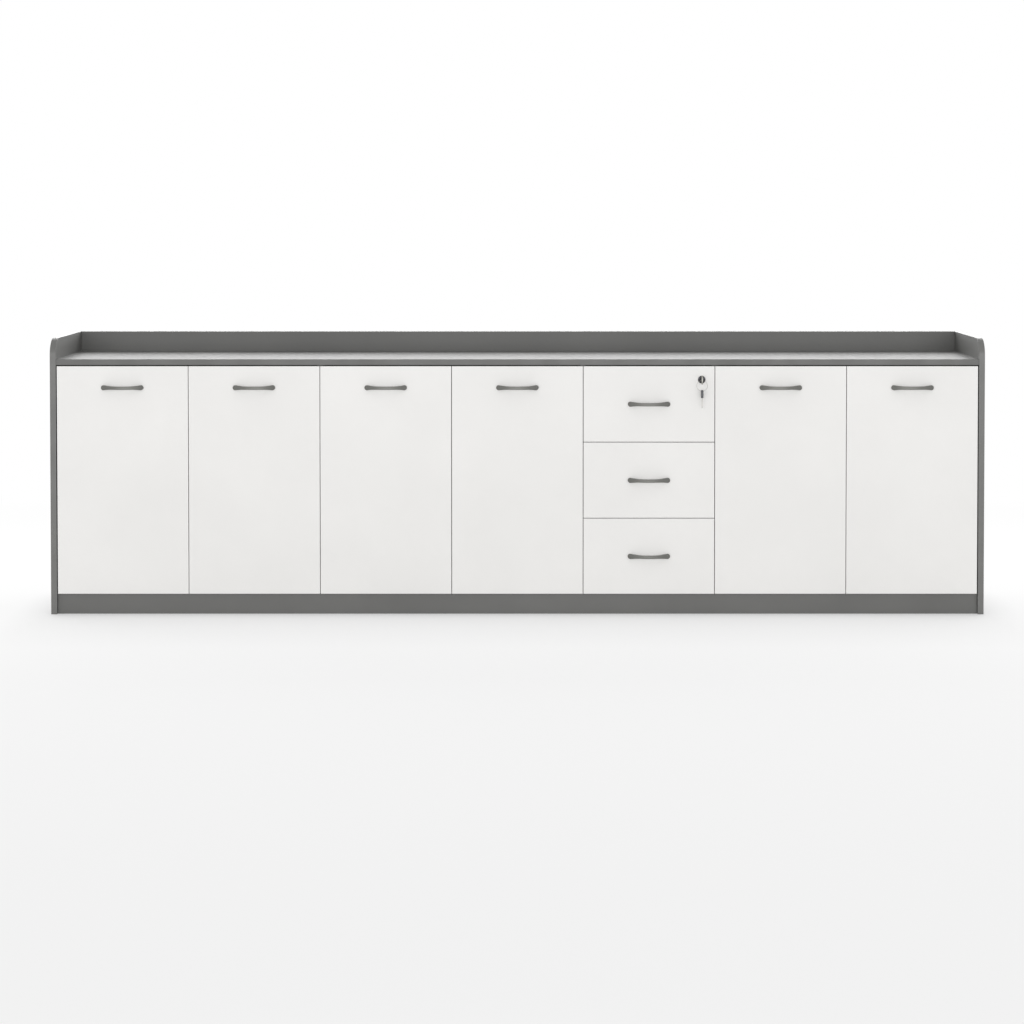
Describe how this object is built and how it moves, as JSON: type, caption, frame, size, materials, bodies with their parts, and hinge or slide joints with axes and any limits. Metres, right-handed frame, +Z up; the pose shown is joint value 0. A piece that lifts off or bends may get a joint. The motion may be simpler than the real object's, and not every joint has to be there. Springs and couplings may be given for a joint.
{
  "type": "office credenza",
  "caption": "Long low office credenza with a raised gallery round the worktop, double-door cupboard bays and a lockable drawer bank.",
  "frame": {"origin": "on the floor, below the centre of the whole object with its handles", "axes": "+X to the right as seen from the front, the fronts face -Y, +Z up"},
  "size_m": [2.8, 0.428, 0.829],
  "materials": {
    "carcass_board": "satin grey melamine board with matching edge band",
    "front_board": "satin white melamine board",
    "back_board": "grey faced hardboard",
    "drawer_board": "grey melamine board",
    "handle_zinc": "cast zinc, satin grey lacquer",
    "hinge_steel": "nickel plated steel",
    "slide_steel": "zinc plated steel",
    "fastener_steel": "zinc plated steel and zinc alloy",
    "lock_chrome": "nickel plated lock parts",
    "key_plastic": "black moulded key head on a steel blade",
    "buffer_rubber": "clear soft dot"
  },
  "bodies": {
    "carcass": {"left_end_panel": "carcass_board", "right_end_panel": "carcass_board", "worktop": "carcass_board", "bottom_panel": "carcass_board", "gallery_board": "carcass_board", "toe_kick": "carcass_board", "rear_plinth": "carcass_board", "plinth_cross_rails": "carcass_board", "back_panels": "back_board", "divider_1": "carcass_board", "divider_2": "carcass_board", "divider_3": "carcass_board", "shelf_1": "carcass_board", "shelf_2": "carcass_board", "shelf_3": "carcass_board", "shelf_pins": "fastener_steel", "hinge_plates": "hinge_steel", "hinge_arms": "hinge_steel", "carcass_fasteners": "fastener_steel", "front_buffers": "buffer_rubber", "slide_outer_members": "slide_steel"},
    "door_1": {"door_panel_1": "front_board", "door_fittings_1": "hinge_steel", "door_handle_1": "handle_zinc"},
    "door_2": {"door_panel_2": "front_board", "door_fittings_2": "hinge_steel", "door_handle_2": "handle_zinc"},
    "door_3": {"door_panel_3": "front_board", "door_fittings_3": "hinge_steel", "door_handle_3": "handle_zinc"},
    "door_4": {"door_panel_4": "front_board", "door_fittings_4": "hinge_steel", "door_handle_4": "handle_zinc"},
    "door_5": {"door_panel_5": "front_board", "door_fittings_5": "hinge_steel", "door_handle_5": "handle_zinc"},
    "door_6": {"door_panel_6": "front_board", "door_fittings_6": "hinge_steel", "door_handle_6": "handle_zinc"},
    "drawer_1": {"drawer_front_1": "front_board", "drawer_box_1": "drawer_board", "drawer_fittings_1": "slide_steel", "drawer_handle_1": "handle_zinc", "lock_housing": "lock_chrome"},
    "slide_middle_1": {"slide_middle_1": "slide_steel"},
    "drawer_2": {"drawer_front_2": "front_board", "drawer_box_2": "drawer_board", "drawer_fittings_2": "slide_steel", "drawer_handle_2": "handle_zinc"},
    "slide_middle_2": {"slide_middle_2": "slide_steel"},
    "drawer_3": {"drawer_front_3": "front_board", "drawer_box_3": "drawer_board", "drawer_fittings_3": "slide_steel", "drawer_handle_3": "handle_zinc"},
    "slide_middle_3": {"slide_middle_3": "slide_steel"},
    "lock_plug": {"lock_plug": "lock_chrome", "lock_key": "lock_chrome"},
    "key_ring": {"key_ring": "lock_chrome"},
    "spare_key": {"spare_key": "key_plastic"},
    "lock_bar": {"lock_bar": "fastener_steel"}
  },
  "joints": [
    {"name": "door_1_hinge", "type": "hinge", "parent": "carcass", "child": "door_1", "pos_m": [-1.374, -0.183, 0.404], "axis": [0, 0, 1], "range_deg": [-110, 0]},
    {"name": "door_2_hinge", "type": "hinge", "parent": "carcass", "child": "door_2", "pos_m": [-0.59743, -0.183, 0.404], "axis": [0, 0, 1], "range_deg": [0, 100]},
    {"name": "door_3_hinge", "type": "hinge", "parent": "carcass", "child": "door_3", "pos_m": [-0.58543, -0.183, 0.404], "axis": [0, 0, 1], "range_deg": [-100, 0]},
    {"name": "door_4_hinge", "type": "hinge", "parent": "carcass", "child": "door_4", "pos_m": [0.19114, -0.183, 0.404], "axis": [0, 0, 1], "range_deg": [0, 100]},
    {"name": "door_5_hinge", "type": "hinge", "parent": "carcass", "child": "door_5", "pos_m": [0.59743, -0.183, 0.404], "axis": [0, 0, -1], "range_deg": [0, 100]},
    {"name": "door_6_hinge", "type": "hinge", "parent": "carcass", "child": "door_6", "pos_m": [1.374, -0.183, 0.404], "axis": [0, 0, 1], "range_deg": [0, 110]},
    {"name": "drawer_1_slide", "type": "slide", "parent": "carcass", "child": "drawer_1", "axis": [0, 1, 0], "range_m": [-0.3, 0]},
    {"name": "slide_middle_1_travel", "type": "slide", "parent": "carcass", "child": "slide_middle_1", "axis": [0, 1, 0], "range_m": [-0.15, 0]},
    {"name": "drawer_2_slide", "type": "slide", "parent": "carcass", "child": "drawer_2", "axis": [0, 1, 0], "range_m": [-0.3, 0]},
    {"name": "slide_middle_2_travel", "type": "slide", "parent": "carcass", "child": "slide_middle_2", "axis": [0, 1, 0], "range_m": [-0.15, 0]},
    {"name": "drawer_3_slide", "type": "slide", "parent": "carcass", "child": "drawer_3", "axis": [0, 1, 0], "range_m": [-0.3, 0]},
    {"name": "slide_middle_3_travel", "type": "slide", "parent": "carcass", "child": "slide_middle_3", "axis": [0, 1, 0], "range_m": [-0.15, 0]},
    {"name": "lock_turn", "type": "hinge", "parent": "drawer_1", "child": "lock_plug", "pos_m": [0.55203, -0.186, 0.706], "axis": [0, 1, 0], "range_deg": [0, 90]},
    {"name": "key_ring_swing", "type": "hinge", "parent": "lock_plug", "child": "key_ring", "pos_m": [0.55203, -0.203, 0.7045], "axis": [1, 0, 0], "range_deg": [-60, 5]},
    {"name": "spare_key_swing", "type": "hinge", "parent": "key_ring", "child": "spare_key", "pos_m": [0.55203, -0.203, 0.6725], "axis": [1, 0, 0], "range_deg": [-40, 5]},
    {"name": "lock_bar_lift", "type": "slide", "parent": "carcass", "child": "lock_bar", "axis": [0, 0, 1], "range_m": [0, 0.00848]}
  ],
  "couplings": [
    {"joint": "slide_middle_1_travel", "follows": "drawer_1_slide", "ratio": 0.5},
    {"joint": "slide_middle_2_travel", "follows": "drawer_2_slide", "ratio": 0.5},
    {"joint": "slide_middle_3_travel", "follows": "drawer_3_slide", "ratio": 0.5},
    {"joint": "lock_turn", "follows": "lock_bar_lift", "rad_per_m": 185.12}
  ]
}
